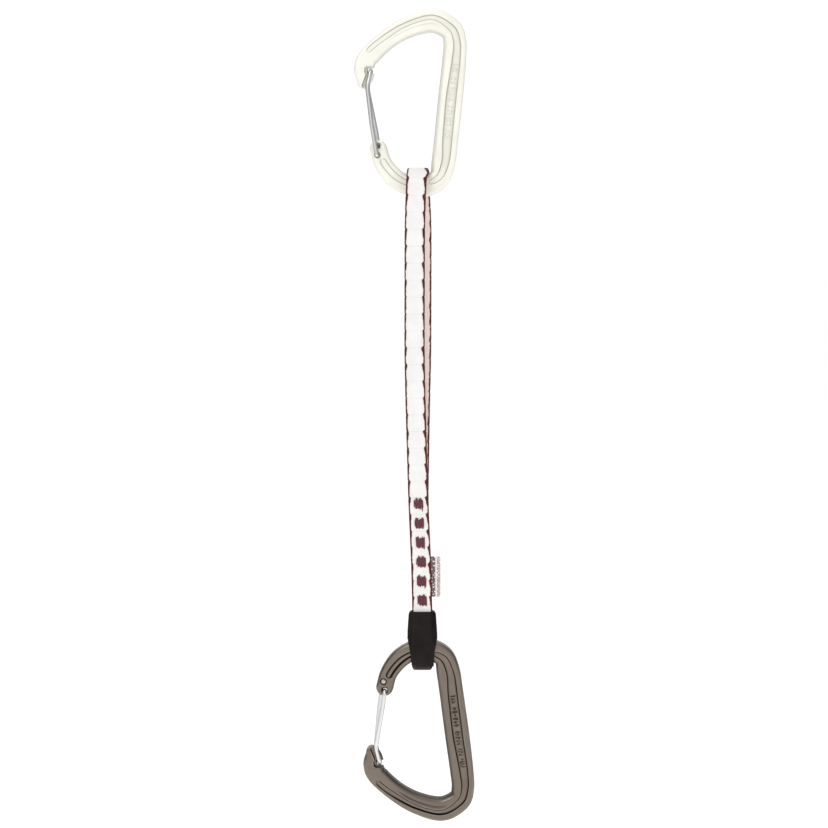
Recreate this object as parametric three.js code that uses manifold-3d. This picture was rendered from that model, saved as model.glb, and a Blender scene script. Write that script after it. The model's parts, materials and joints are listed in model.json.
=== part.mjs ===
// A climbing quickdraw: two wire-gate carabiners of one forging, joined by a sewn webbing sling.
// The upper carabiner clips the anchor, the lower one holds the rope, and a moulded rubber keeper
// holds the lower one in its eye.
// Units are millimetres. +Z is up, +X is the side of the spines and +Y is the back.
// The origin is the inside top of the upper carabiner, where it bears on its anchor.
// A carabiner is drawn in a frame of its own: u (its X) points to the spine, v (its Z) points to
// the broad end, and its origin is the middle of the narrow bar that the sling bears on.
import * as THREE from "three";
import { mergeVertices } from "three/addons/utils/BufferGeometryUtils.js";
import Module from "manifold-3d";

// ---- Layout ----
const UPPER_BAR = { x: -6.7, z: -76.3 };
const LOWER_BAR = { x: -4.4, z: -308.5 };
const UPPER_LEAN = THREE.MathUtils.degToRad(1.8);
const CLEARANCE = 0.3;
// Long enough for a cut or a blank to pass right through any piece.
const THROUGH_ALL = 40;

// ---- Carabiner frame ----
// Centre line of the forging from the gate pivot round to the nose. Each row is u, v, depth in
// the plane, thickness across it, and how far the side recess is sunk (0 none, 1 full).
const FRAME_STATIONS = [
  [-19.4, 19.4, 8.7, 5.0, 0],
  [-17.3, 12.4, 8.8, 5.0, 0],
  [-12.4, 5.6, 9.6, 6.4, 0],
  [-6.3, 1.5, 9.6, 7.4, 0],
  [0.2, 0.1, 10.4, 7.6, 0],
  [6.2, 1.3, 10.6, 7.6, 0],
  [10.9, 4.8, 10.5, 7.6, 0.3],
  [12.8, 12.0, 12.0, 7.6, 1],
  [14.3, 22.0, 12.1, 7.6, 1],
  [17.3, 44.0, 12.4, 7.6, 1],
  [19.6, 62.0, 11.9, 7.6, 1],
  [20.2, 71.0, 11.4, 8.0, 0.8],
  [18.2, 77.4, 11.0, 8.4, 0.6],
  [9.3, 81.8, 11.5, 8.6, 0.4],
  [-2.9, 79.0, 10.2, 8.6, 0.4],
  [-13.5, 73.1, 9.4, 8.6, 0.3],
  [-22.9, 64.6, 9.8, 8.4, 0],
  [-25.4, 58.5, 9.6, 8.2, 0],
  [-25.5, 53.0, 6.8, 8.0, 0],
];
const FRAME_STEPS_PER_STATION = 3;
// Upper half of the I-beam section as fractions of half the depth and half the thickness.
const FLOOR_HALF_WIDTH = 0.4;
const FLOOR_HEIGHT = 0.45;
const FRAME_HALF_SECTION = [
  [1.0, 0.4],
  [0.9, 0.82],
  [0.7, 1.0],
  [0.5, 1.0],
  [FLOOR_HALF_WIDTH, FLOOR_HEIGHT],
  [-FLOOR_HALF_WIDTH, FLOOR_HEIGHT],
  [-0.5, 1.0],
  [-0.7, 1.0],
  [-0.9, 0.78],
  [-1.0, 0.35],
];

// ---- Gate pivot and nose ----
const PIVOT = { u: -19.4, v: 21.0 };
const PIVOT_BOSS_RADIUS = 4.35;
const PIVOT_BOSS_THICKNESS = 5.0;
const NOSE_TIP_RADIUS = 3.4;
const NOSE_THICKNESS = 8.0;
const NOSE_WEB_THICKNESS = 3.0;
const NOSE_POCKET = { uLow: -25.3, uHigh: -14.0, vLow: 45.0, vHigh: 60.6 };
const NOSE_NOTCH = { uLow: -23.3, uHigh: -17.0, vLow: 56.65, vHigh: 59.5 };
// Outline of the web that stands between the wire legs below the notch.
const NOSE_PRONG = [
  [-25.4, 51.3],
  [-22.9, 51.3],
  [-21.3, 53.4],
  [-20.4, 57.0],
  [-25.4, 57.0],
];
const BOSS_SIDES = 28;
const HOLE_SIDES = 12;

// ---- Wire gate ----
const WIRE_RADIUS = 1.05;
const WIRE_SIDES = 8;
const WIRE_STEPS = 84;
const WIRE_BEND = 2.0;
const WIRE_HOLE_RADIUS = WIRE_RADIUS + CLEARANCE;
const WIRE_END_HALF_GAP = 0.4;
// Each leg from its lower end to the crossbar: u, distance from the mid-plane, v. The rear leg
// turns into the pivot hole. The front one is longer and ends over a hole of its own.
const REAR_LEG = [
  [PIVOT.u, WIRE_END_HALF_GAP, PIVOT.v],
  [PIVOT.u, 3.95, PIVOT.v],
  [-20.2, 3.8, 28.0],
  [-23.95, 3.2, 50.0],
  [-21.9, 2.9, 58.0],
];
const FRONT_LEG = [
  [-20.1, 3.95, 15.4],
  [-22.3, 3.8, 31.0],
  [-23.95, 3.2, 50.0],
  [-21.9, 2.9, 58.0],
];
const FRONT_LEG_HOLE = { u: -20.0, v: 16.4 };

// ---- Sling ----
const TAPE_WIDTH = 10.0;
const TAPE_THICKNESS = 1.6;
const LOOP_RADIUS = 9.7;
const EYE_RADIUS = 7.0;
const EYE_DROP = 2.2;
const EYE_RISE = 3.0;
const SEWN_HALF_THICKNESS = 2.25;
const SEWN_TOP = -231.3;
const SEWN_BOTTOM = -290.7;
const TAPE_STEP = 11.0;
const ARC_POINTS = 14;
// Middle line of the tape as seen from the front: z and x.
const TAPE_MIDDLE = [
  [-320.0, -3.8],
  [-290.0, -4.8],
  [-265.0, -5.4],
  [-234.0, -6.8],
  [-184.0, -7.1],
  [-90.0, -6.9],
  [-66.0, -7.3],
];
// How far the rear strand stands to the right of that line, and the front strand to the left.
const STRAND_SPREAD = [
  [-320.0, 0.0],
  [-234.0, 0.0],
  [-159.0, 1.7],
  [-95.0, 1.7],
  [-76.0, 0.9],
  [-66.6, 0.0],
];

// ---- Bar tacks ----
const TACK_COUNT = 6;
const TACK_TOP = -234.5;
const TACK_PITCH = 9.78;
const TACK_WIDTH = 5.0;
const TACK_HEIGHT = 5.4;
const TACK_PLATE = 0.5;
const TACK_CORE_WIDTH = 3.4;
const TACK_CORE_HEIGHT = 3.6;

// ---- Label ----
const LABEL_TOP = -261.6;
const LABEL_HEIGHT = 20.4;
const LABEL_RIGHT = 4.3;
const LABEL_TAIL = 3.0;
const LABEL_THICKNESS = 0.6;
const LABEL_CORNER = 0.6;
const LABEL_CORNER_SEGMENTS = 4;

// ---- Rubber keeper ----
const KEEPER_WALL = 1.3;
const KEEPER_MIDDLE = LOWER_BAR.x - 0.4;
const KEEPER_SIDE_WALLS_BOTTOM = 6.0;
// Half the keeper's width from the front, by height over the bar's middle: z and half width.
const KEEPER_HALF_WIDTHS = [
  [-11.5, 3.3],
  [-9.9, 4.3],
  [-8.2, 5.2],
  [-1.5, 6.5],
  [5.0, 7.6],
  [9.0, 7.5],
  [18.0, 6.9],
  [19.3, 5.9],
];

// ---- Finishes ----
const FINISHES = {
  silverFrame: { color: 0xd2d1cc, roughness: 0.32, metalness: 0.9 },
  greyFrame: { color: 0x7d766c, roughness: 0.32, metalness: 0.9 },
  gateWire: { color: 0xc9c8c4, roughness: 0.22, metalness: 1.0 },
  webbing: { color: 0xe9e8e4, roughness: 0.85, metalness: 0.0 },
  thread: { color: 0x7a3b46, roughness: 0.8, metalness: 0.0 },
  label: { color: 0xe4e1dc, roughness: 0.7, metalness: 0.0 },
  rubber: { color: 0x1b1b1c, roughness: 0.6, metalness: 0.0 },
};

// ---- Solids ----
const WELD = 1e-4;
const wasm = await Module();
wasm.setup();

// Turns a closed geometry into a solid that can be joined and cut.
function solidFrom(geometry) {
  const bare = geometry.clone();
  bare.deleteAttribute("normal");
  bare.deleteAttribute("uv");
  const merged = mergeVertices(bare, WELD);
  return new wasm.Manifold(
    new wasm.Mesh({
      numProp: 3,
      vertProperties: merged.getAttribute("position").array,
      triVerts: new Uint32Array(merged.index.array),
    }),
  );
}

function geometryFrom(solid) {
  const { vertProperties, triVerts } = solid.getMesh();
  const geometry = new THREE.BufferGeometry();
  geometry.setAttribute("position", new THREE.BufferAttribute(vertProperties, 3));
  geometry.setIndex(new THREE.BufferAttribute(triVerts, 1));
  geometry.computeVertexNormals();
  return geometry;
}

// A box between two corners.
function boxSolid(low, high) {
  const size = high.map((value, axis) => value - low[axis]);
  const geometry = new THREE.BoxGeometry(...size);
  geometry.translate(...high.map((value, axis) => (value + low[axis]) / 2));
  return solidFrom(geometry);
}

// A cylinder whose axis is the Y axis through u, v.
function crossCylinder(radius, thickness, u, v, sides) {
  const geometry = new THREE.CylinderGeometry(radius, radius, thickness, sides);
  geometry.translate(u, 0, v);
  return solidFrom(geometry);
}

// A Y-Z outline, extruded along X from -width / 2 to width / 2.
function sideExtrusion(shape, width) {
  const geometry = new THREE.ExtrudeGeometry(shape, { depth: width, bevelEnabled: false });
  geometry.translate(0, 0, -width / 2);
  geometry.applyMatrix4(new THREE.Matrix4().set(0, 0, 1, 0, 1, 0, 0, 0, 0, 1, 0, 0, 0, 0, 0, 1));
  return geometry;
}

// An X-Z outline, extruded along Y from -thickness / 2 to thickness / 2.
function frontExtrusion(shape, thickness) {
  const geometry = new THREE.ExtrudeGeometry(shape, { depth: thickness, bevelEnabled: false });
  geometry.translate(0, 0, -thickness / 2);
  geometry.rotateX(Math.PI / 2);
  return geometry;
}

// Moves each vertex to where place(x, y, z) puts it.
function reshape(geometry, place) {
  const position = geometry.getAttribute("position");
  for (let i = 0; i < position.count; i += 1) {
    const moved = place(position.getX(i), position.getY(i), position.getZ(i));
    position.setXYZ(i, moved[0], moved[1], moved[2]);
  }
  return geometry;
}

// Straight-line value of a table of rows [at, value], sorted by at.
function tableValue(rows, at) {
  const last = rows.length - 1;
  if (at <= rows[0][0]) return rows[0][1];
  if (at >= rows[last][0]) return rows[last][1];
  const next = rows.findIndex((row) => row[0] >= at);
  const [from, to] = [rows[next - 1], rows[next]];
  return THREE.MathUtils.mapLinear(at, from[0], to[0], from[1], to[1]);
}

// A smooth curve through points, one unit of its parameter for each span.
function throughPoints(points) {
  const vectors = points.map((point) => new THREE.Vector3(...point));
  return new THREE.CatmullRomCurve3(vectors, false, "catmullrom", 0.5);
}

// ---- Carabiner frame ----
function frameSection() {
  const lower = FRAME_HALF_SECTION.map(([across, up]) => [across, -up]).reverse();
  return new THREE.Shape([...FRAME_HALF_SECTION, ...lower].map((p) => new THREE.Vector2(...p)));
}

// The I-beam, bent along its centre line from a straight extrusion.
function frameBeam() {
  const line = throughPoints(FRAME_STATIONS.map(([u, v]) => [u, 0, v]));
  const sizes = throughPoints(FRAME_STATIONS.map((station) => station.slice(2)));
  const steps = (FRAME_STATIONS.length - 1) * FRAME_STEPS_PER_STATION;
  const straight = new THREE.ExtrudeGeometry(frameSection(), { depth: 1, steps, bevelEnabled: false });
  return reshape(straight, (across, up, along) => {
    const centre = line.getPoint(along);
    const tangent = line.getTangent(along);
    const [depth, thickness, sink] = sizes.getPoint(along).toArray();
    const outward = (across * depth) / 2;
    const onFloor = Math.abs(across) <= FLOOR_HALF_WIDTH && Math.abs(up) <= FLOOR_HEIGHT;
    const level = onFloor ? Math.sign(up) * THREE.MathUtils.lerp(1, FLOOR_HEIGHT, sink) : up;
    return [centre.x + tangent.z * outward, (level * thickness) / 2, centre.z - tangent.x * outward];
  });
}

// The nose keeps a full-thickness hood outside and a web between the wire legs, with a notch in
// the web for the crossbar that is open towards the inside.
function withNose(beam) {
  const { uLow, uHigh, vLow, vHigh } = NOSE_POCKET;
  const web = NOSE_WEB_THICKNESS / 2;
  const prong = new THREE.Shape(NOSE_PRONG.map((p) => new THREE.Vector2(...p)));
  return beam
    .subtract(boxSolid([uLow, web, vLow], [uHigh, NOSE_THICKNESS, vHigh]))
    .subtract(boxSolid([uLow, -NOSE_THICKNESS, vLow], [uHigh, -web, vHigh]))
    .add(solidFrom(frontExtrusion(prong, NOSE_WEB_THICKNESS)))
    .subtract(
      boxSolid(
        [NOSE_NOTCH.uLow, -NOSE_THICKNESS, NOSE_NOTCH.vLow],
        [NOSE_NOTCH.uHigh, NOSE_THICKNESS, NOSE_NOTCH.vHigh],
      ),
    );
}

function carabinerFrame() {
  const [bossU, bossV] = FRAME_STATIONS[0];
  const [tipU, tipV] = FRAME_STATIONS[FRAME_STATIONS.length - 1];
  const boss = crossCylinder(PIVOT_BOSS_RADIUS, PIVOT_BOSS_THICKNESS, bossU, bossV, BOSS_SIDES);
  const tip = crossCylinder(NOSE_TIP_RADIUS, NOSE_THICKNESS, tipU, tipV, BOSS_SIDES);
  let frame = withNose(solidFrom(frameBeam()).add(boss).add(tip));
  for (const { u, v } of [PIVOT, FRONT_LEG_HOLE]) {
    frame = frame.subtract(crossCylinder(WIRE_HOLE_RADIUS, THROUGH_ALL, u, v, HOLE_SIDES));
  }
  return geometryFrom(frame);
}

// ---- Wire gate ----
// Straight runs between points, with a curve of the given reach in place of each corner.
function bentWirePath(points, reach) {
  const path = new THREE.CurvePath();
  let from = points[0];
  for (let i = 1; i < points.length - 1; i += 1) {
    const corner = points[i];
    const before = corner.clone().add(points[i - 1].clone().sub(corner).setLength(reach));
    const after = corner.clone().add(points[i + 1].clone().sub(corner).setLength(reach));
    path.add(new THREE.LineCurve3(from, before));
    path.add(new THREE.QuadraticBezierCurve3(before, corner, after));
    from = after;
  }
  path.add(new THREE.LineCurve3(from, points[points.length - 1]));
  return path;
}

function wireGate() {
  const front = FRONT_LEG.map(([u, out, v]) => new THREE.Vector3(u, -out, v));
  const rear = REAR_LEG.map(([u, out, v]) => new THREE.Vector3(u, out, v));
  const extrudePath = bentWirePath([...front, ...rear.reverse()], WIRE_BEND);
  const section = new THREE.Shape().absarc(0, 0, WIRE_RADIUS, 0, 2 * Math.PI, false);
  return new THREE.ExtrudeGeometry(section, {
    steps: WIRE_STEPS,
    curveSegments: WIRE_SIDES / 2,
    extrudePath,
  });
}

// ---- Sling ----
// Half the side-on width of the folded tape, outside, by height.
const TAPE_HALF_WIDTHS = [
  [LOWER_BAR.z - EYE_DROP, EYE_RADIUS],
  [LOWER_BAR.z + EYE_RISE, EYE_RADIUS],
  [SEWN_BOTTOM, SEWN_HALF_THICKNESS],
  [SEWN_TOP, SEWN_HALF_THICKNESS],
  [UPPER_BAR.z, LOOP_RADIUS],
];

// Where the middle of the tape stands at a point of the side view.
function tapeX(y, z) {
  return tableValue(TAPE_MIDDLE, z) + Math.sign(y) * tableValue(STRAND_SPREAD, z);
}

// Points up the rear side of the tape between two heights, at a distance from its outside.
function tapeSide(zLow, zHigh, offset) {
  const turns = TAPE_HALF_WIDTHS.map(([z]) => z).filter((z) => z > zLow && z < zHigh);
  const marks = [zLow, ...turns, zHigh];
  const points = [];
  for (let i = 1; i < marks.length; i += 1) {
    const count = Math.ceil((marks[i] - marks[i - 1]) / TAPE_STEP);
    for (let k = 0; k < count; k += 1) {
      const z = THREE.MathUtils.lerp(marks[i - 1], marks[i], k / count);
      points.push([tableValue(TAPE_HALF_WIDTHS, z) + offset, z]);
    }
  }
  points.push([tableValue(TAPE_HALF_WIDTHS, zHigh) + offset, zHigh]);
  return points;
}

// Points on the rear quarter of an arc about the middle line, from its top or bottom.
function quarterArc(zCentre, radius, up) {
  const points = [];
  for (let k = 1; k < ARC_POINTS / 2; k += 1) {
    const angle = (k / (ARC_POINTS / 2)) * (Math.PI / 2);
    points.push([radius * Math.sin(angle), zCentre + up * radius * Math.cos(angle)]);
  }
  return [[0, zCentre + up * radius], ...points];
}

// Closes a rear half outline, given from its bottom to its top, with its mirror image in front.
function mirrored(rearPoints) {
  const front = rearPoints.filter(([y]) => y > WELD).map(([y, z]) => [-y, z]);
  return [...rearPoints, ...front.reverse()].map(([y, z]) => new THREE.Vector2(y, z));
}

// The outside of the folded tape in the side view, grown by an offset.
function tapeOutline(offset) {
  const bottom = quarterArc(LOWER_BAR.z - EYE_DROP, EYE_RADIUS + offset, -1);
  const side = tapeSide(LOWER_BAR.z - EYE_DROP, UPPER_BAR.z, offset);
  const top = quarterArc(UPPER_BAR.z, LOOP_RADIUS + offset, 1).reverse();
  return new THREE.Shape(mirrored([...bottom, ...side, ...top]));
}

function slingBand() {
  const shape = tapeOutline(0);
  const loop = [
    ...tapeSide(SEWN_TOP, UPPER_BAR.z, -TAPE_THICKNESS),
    ...quarterArc(UPPER_BAR.z, LOOP_RADIUS - TAPE_THICKNESS, 1).reverse(),
  ];
  const eye = [
    ...quarterArc(LOWER_BAR.z - EYE_DROP, EYE_RADIUS - TAPE_THICKNESS, -1),
    ...tapeSide(LOWER_BAR.z - EYE_DROP, SEWN_BOTTOM, -TAPE_THICKNESS),
  ];
  shape.holes.push(new THREE.Path(mirrored(loop)), new THREE.Path(mirrored(eye)));
  return reshape(sideExtrusion(shape, TAPE_WIDTH), (x, y, z) => [x + tapeX(y, z), y, z]);
}

const tackHeights = Array.from({ length: TACK_COUNT }, (_, i) => TACK_TOP - i * TACK_PITCH);

// A box centred on the sewn part of the tape at a height.
function tapeBox(z, width, height, yLow, yHigh) {
  const x = tapeX(0, z);
  return boxSolid([x - width / 2, yLow, z - height / 2], [x + width / 2, yHigh, z + height / 2]);
}

function slingWebbing() {
  const reach = 2 * SEWN_HALF_THICKNESS;
  const holeWidth = TACK_CORE_WIDTH + 2 * CLEARANCE;
  const holeHeight = TACK_CORE_HEIGHT + 2 * CLEARANCE;
  let webbing = solidFrom(slingBand());
  for (const z of tackHeights) {
    webbing = webbing.subtract(tapeBox(z, holeWidth, holeHeight, -reach, reach));
  }
  return geometryFrom(webbing.subtract(labelSolid(CLEARANCE)));
}

// One tack: the stitch block on each face and the stitches between them.
function barTack(z) {
  const inner = SEWN_HALF_THICKNESS + CLEARANCE;
  const outer = inner + TACK_PLATE;
  const core = tapeBox(z, TACK_CORE_WIDTH, TACK_CORE_HEIGHT, -outer, outer);
  const front = tapeBox(z, TACK_WIDTH, TACK_HEIGHT, -outer, -inner);
  const rear = tapeBox(z, TACK_WIDTH, TACK_HEIGHT, inner, outer);
  return geometryFrom(core.add(front).add(rear));
}

// ---- Label ----
// The tag's outline from the front. Its left end is the tail sewn between the plies.
function labelSolid(grow) {
  const tapeEdge = tapeX(0, LABEL_TOP - LABEL_HEIGHT / 2) + TAPE_WIDTH / 2;
  const left = tapeEdge - LABEL_TAIL - grow;
  const right = LABEL_RIGHT + grow;
  const top = LABEL_TOP + grow;
  const bottom = LABEL_TOP - LABEL_HEIGHT - grow;
  const shape = new THREE.Shape();
  shape.moveTo(left, bottom);
  shape.lineTo(right - LABEL_CORNER, bottom);
  shape.absarc(right - LABEL_CORNER, bottom + LABEL_CORNER, LABEL_CORNER, -Math.PI / 2, 0, false);
  shape.absarc(right - LABEL_CORNER, top - LABEL_CORNER, LABEL_CORNER, 0, Math.PI / 2, false);
  shape.lineTo(left, top);
  const geometry = new THREE.ExtrudeGeometry(shape, {
    depth: LABEL_THICKNESS + 2 * grow,
    curveSegments: LABEL_CORNER_SEGMENTS,
    bevelEnabled: false,
  });
  geometry.translate(0, 0, -LABEL_THICKNESS / 2 - grow);
  geometry.rotateX(Math.PI / 2);
  return solidFrom(geometry);
}

// ---- Rubber keeper ----
function rubberKeeper() {
  const wide = sideExtrusion(tapeOutline(CLEARANCE + KEEPER_WALL), THROUGH_ALL);
  const frontOutline = mirrored(KEEPER_HALF_WIDTHS.map(([z, half]) => [half, LOWER_BAR.z + z]));
  const front = frontExtrusion(new THREE.Shape(frontOutline), THROUGH_ALL);
  front.translate(KEEPER_MIDDLE, 0, 0);
  wide.translate(KEEPER_MIDDLE, 0, 0);

  const tapeSpace = reshape(
    sideExtrusion(tapeOutline(CLEARANCE), TAPE_WIDTH + 2 * CLEARANCE),
    (x, y, z) => [x + tapeX(0, z), y, z],
  );
  const barSpace = sideExtrusion(tapeOutline(CLEARANCE), THROUGH_ALL);
  barSpace.translate(KEEPER_MIDDLE, 0, 0);
  const belowSideWalls = boxSolid(
    [-THROUGH_ALL, -THROUGH_ALL, LOWER_BAR.z - THROUGH_ALL],
    [THROUGH_ALL, THROUGH_ALL, LOWER_BAR.z + KEEPER_SIDE_WALLS_BOTTOM],
  );
  const block = solidFrom(wide).intersect(solidFrom(front));
  const windows = solidFrom(barSpace).intersect(belowSideWalls);
  return geometryFrom(block.subtract(solidFrom(tapeSpace)).subtract(windows));
}

// ---- Assembly ----
function part(name, geometry, finish) {
  const mesh = new THREE.Mesh(geometry, new THREE.MeshStandardMaterial(finish));
  mesh.name = name;
  return mesh;
}

function carabiner(side, frameFinish) {
  const group = new THREE.Group();
  group.add(part(`${side}_frame`, carabinerFrame(), frameFinish));
  group.add(part(`${side}_wire_gate`, wireGate(), FINISHES.gateWire));
  return group;
}

const quickdraw = new THREE.Group();

const upper = carabiner("upper", FINISHES.silverFrame);
upper.position.set(UPPER_BAR.x, 0, UPPER_BAR.z);
upper.rotation.y = -UPPER_LEAN;
quickdraw.add(upper);

const lower = carabiner("lower", FINISHES.greyFrame);
lower.position.set(LOWER_BAR.x, 0, LOWER_BAR.z);
lower.rotation.x = Math.PI;
quickdraw.add(lower);

quickdraw.add(part("sling_webbing", slingWebbing(), FINISHES.webbing));
tackHeights.forEach((z, i) => {
  quickdraw.add(part(`bar_tack_${i + 1}`, barTack(z), FINISHES.thread));
});
quickdraw.add(part("sling_label", geometryFrom(labelSolid(0)), FINISHES.label));
quickdraw.add(part("rubber_keeper", rubberKeeper(), FINISHES.rubber));

export default quickdraw;
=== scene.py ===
"""A climbing quickdraw in a plain studio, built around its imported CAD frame.

Tables and measures are in millimetres and become metres when a mesh is made. A carabiner is drawn
in a frame of its own: u points to the spine, v to the broad end and y across, and its origin is the
middle of the bar that the sling bears on. The CAD nodes are replaced by finer pieces of their size.
"""

import json
import math
from types import SimpleNamespace

import bmesh
import bpy
import numpy as np
from mathutils import Matrix, Vector


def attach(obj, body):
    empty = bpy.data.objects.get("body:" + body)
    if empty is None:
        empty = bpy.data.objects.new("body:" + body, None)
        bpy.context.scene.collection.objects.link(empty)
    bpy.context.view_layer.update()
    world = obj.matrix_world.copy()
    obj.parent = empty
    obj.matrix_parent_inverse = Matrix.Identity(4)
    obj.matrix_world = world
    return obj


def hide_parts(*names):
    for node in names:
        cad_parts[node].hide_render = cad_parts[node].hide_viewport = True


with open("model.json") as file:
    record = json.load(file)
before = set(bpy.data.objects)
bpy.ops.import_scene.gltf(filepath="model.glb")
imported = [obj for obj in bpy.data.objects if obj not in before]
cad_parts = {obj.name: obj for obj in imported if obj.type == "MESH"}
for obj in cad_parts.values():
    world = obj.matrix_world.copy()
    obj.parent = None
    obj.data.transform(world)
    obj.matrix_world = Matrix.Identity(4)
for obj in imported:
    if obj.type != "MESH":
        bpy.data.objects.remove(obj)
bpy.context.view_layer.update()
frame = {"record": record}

MM = 0.001
SEED = 11
rng = np.random.default_rng(SEED)

# ---- Places from the frame ----
JOINT_PLACES = {
    joint["name"]: np.array(joint["pos_m"]) / MM for joint in frame["record"]["behaviour"]["joints"]
}
UPPER_BAR = JOINT_PLACES["sling_swing"]
LOWER_BAR = JOINT_PLACES["lower_carabiner_swing"]
PIVOT = np.array([1, 1, -1]) * (JOINT_PLACES["lower_gate_opening"] - LOWER_BAR)
UPPER_PIVOT = JOINT_PLACES["upper_gate_opening"] - UPPER_BAR
UPPER_LEAN = math.atan2(UPPER_PIVOT[2], UPPER_PIVOT[0]) - math.atan2(PIVOT[2], PIVOT[0])
UPPER_PLACE = Matrix.Translation(UPPER_BAR) @ Matrix.Rotation(-UPPER_LEAN, 4, "Y")
LOWER_PLACE = Matrix.Translation(LOWER_BAR) @ Matrix.Rotation(math.pi, 4, "X")
IN_PLACE = Matrix.Identity(4)

# ---- Carabiner frame ----
# Centre line from the gate pivot round to the nose: u, v, depth in the plane, thickness across it,
# and how far the side channel is sunk.
FRAME_STATIONS = np.array([
    [-19.4, 19.4, 8.7, 5, 0],
    [-17.3, 12.4, 8.8, 5, 0],
    [-12.4, 5.6, 9.6, 6.4, 0],
    [-6.3, 1.5, 9.6, 7.4, 0],
    [0.2, 0.1, 10.4, 7.6, 0],
    [6.2, 1.3, 10.6, 7.6, 0],
    [10.9, 4.8, 10.5, 7.6, 0.3],
    [12.8, 12, 12, 7.6, 1],
    [14.3, 22, 12.1, 7.6, 1],
    [17.3, 44, 12.4, 7.6, 1],
    [19.6, 62, 11.9, 7.6, 1],
    [20.2, 71, 11.4, 8, 0.8],
    [18.2, 77.4, 11, 8.4, 0.6],
    [9.3, 81.8, 11.5, 8.6, 0.4],
    [-2.9, 79, 10.2, 8.6, 0.4],
    [-13.5, 73.1, 9.4, 8.6, 0.3],
    [-22.9, 64.6, 9.8, 8.4, 0],
    [-25.4, 58.5, 9.6, 8.2, 0],
    [-25.5, 53, 6.8, 8, 0],
])
FLOOR_HEIGHT = 0.45
RING_STEP = 0.55
CAP_RINGS = 14
CAP_TURN = math.radians(88)
FILLET_ROWS = 7
OUTER_FILLET = 1.5
INNER_FILLET = 2.7
LEAST_FILLET = 0.05
WALL_HALF_WIDTH = 0.21
# The depth from which the painted shade on a channel's walls is at its darkest.
WALL_SHADE_DEPTH = 0.4
# How much painted shade lies on the outer and inner sides of the forging.
OUTER_RIM_SHADE = 0.3
INNER_RIM_SHADE = 0.7
# The channel between the lands: station, middle from the centre line, half width, depth where the
# CAD recess isn't sunk.
CHANNEL = np.array([
    [0.70, -0.4, 1.55, 0.7],
    [1, -0.4, 1.6, 0.7],
    [2, -0.7, 1.6, 0.7],
    [3, -0.8, 1.3, 0.7],
    [3.5, -0.8, 1.2, 0.7],
    [4.9, -0.9, 1.2, 0.6],
    [6, -0.3, 1.7, 0.2],
    [7, 1.1, 1.9, 0],
    [8, 0.5, 2.4, 0],
    [9, 0.2, 2.55, 0],
    [10, 0.95, 2.1, 0],
    [11, 1.05, 1.75, 0],
    [12, 0.2, 1.65, 0],
    [13, 1.3, 1.15, 0],
    [14, 1.2, 1.05, 0],
    [15, 1.2, 1.3, 0],
    [15.7, 2, 1.2, 0.5],
])
CHANNEL_SPANS = [(0.70, 3.5), (4.9, 15.85)]
CHANNEL_STEP = 0.25
CHANNEL_BLUR = 10
CREASE_SPAN = (12.4, 15.2)
CREASE_DEPTH = 0.32
CREASE_FADE = 8.0
# How much painted shade the outer and the inner corner of the channel floor get, by station.
CORNER_SHADE = np.array([
    [0, 0.8, 1], [4, 0.8, 1], [4.9, 0, 0], [12.2, 0, 0], [13, 1, 0], [14.6, 1, 0.1], [15.4, 0, 0],
])
# The channel's outer wall: place over its half width, share of the drop, darkness of its painted shade.
# The inner wall is its mirror image.
WALL_ROWS = [(1, 0, 0.0), (0.75, 0.06, 0.5), (0.2, 0.4, 1), (-0.4, 0.9, 1), (-1, 1, 0.9)]
# The channel's floor: share across, least painted shade, and 1 where the corner's painted shade shows.
FLOOR_ROWS = [
    (0.08, 0.3, 1), (0.22, 0, 1), (0.3, 0, 0), (0.5, 0, 0), (0.7, 0, 0), (0.78, 0, 1), (0.92, 0.3, 1),
]
LAND_PARTS = (0.35, 0.7)
# The inner land: share across and share of the crease's depth.
CREASE_ROWS = [(0.15, 0), (0.35, 0.15), (0.48, 0.9), (0.52, 1), (0.6, 0.75), (0.8, 0.1)]

# ---- Wire holes ----
FRONT_LEG_HOLE = (-20.0, 16.4)
WIRE_HOLES = [(PIVOT[0], PIVOT[2]), FRONT_LEG_HOLE]
HOLE_RADIUS = 1.35
HOLE_EDGE = 1.6
HOLE_SIDES = 40
# Radius and place across the frame, from outside one face to where the edge's bevel ends.
HOLE_PROFILE = [(HOLE_EDGE, -4.0), (HOLE_EDGE, -2.46), (HOLE_RADIUS, -2.25)]

# ---- Nose ----
NOSE_WEB = 1.5
HOOD_WALL = np.array([[49, -27.2], [52, -26.1], [55.5, -24.6], [58, -24.05], [61, -24.05]])
PRONG_WIDTH = 0.26
PRONG_FROM_V = 51.0
PRONG_RISE = 3.0
POCKET_WALL = 0.8
POCKET_TOP = 7.15
LEVEL_FROM, LEVEL_TO = 14.0, 8.0
NOTCH_SPAN = (3.7, 6.6)
NOTCH_FLOOR_U = -23.3
STEP_WIDTH = 0.16


def smooth_step(x):
    """0 below 0, 1 above 1 and a smooth rise between them."""
    x = np.clip(x, 0, 1)
    return x * x * (3 - 2 * x)


def through_points(rows, at):
    """Points and slopes of a smooth curve through rows, one unit of its parameter a span."""
    rows = np.vstack([2 * rows[0] - rows[1], rows, 2 * rows[-1] - rows[-2]])
    span = np.clip(at.astype(int), 0, len(rows) - 4)
    w = (at - span)[:, None]
    before, start, end, after = (rows[span + k] for k in range(4))
    leave, arrive = (end - before) / 2, (after - start) / 2
    square = 3 * (end - start) - 2 * leave - arrive
    cube = 2 * (start - end) + leave + arrive
    points = start + w * (leave + w * (square + w * cube))
    slopes = leave + w * (2 * square + 3 * w * cube)
    return points, slopes


def unit(vectors):
    """The vectors, one a row, with their lengths made 1."""
    return vectors / np.linalg.norm(vectors, axis=1)[:, None]


def table_value(rows, at, column=1):
    """Straight-line value of one column of a table at places in its first column."""
    return np.interp(at, rows[:, 0], rows[:, column])


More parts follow.
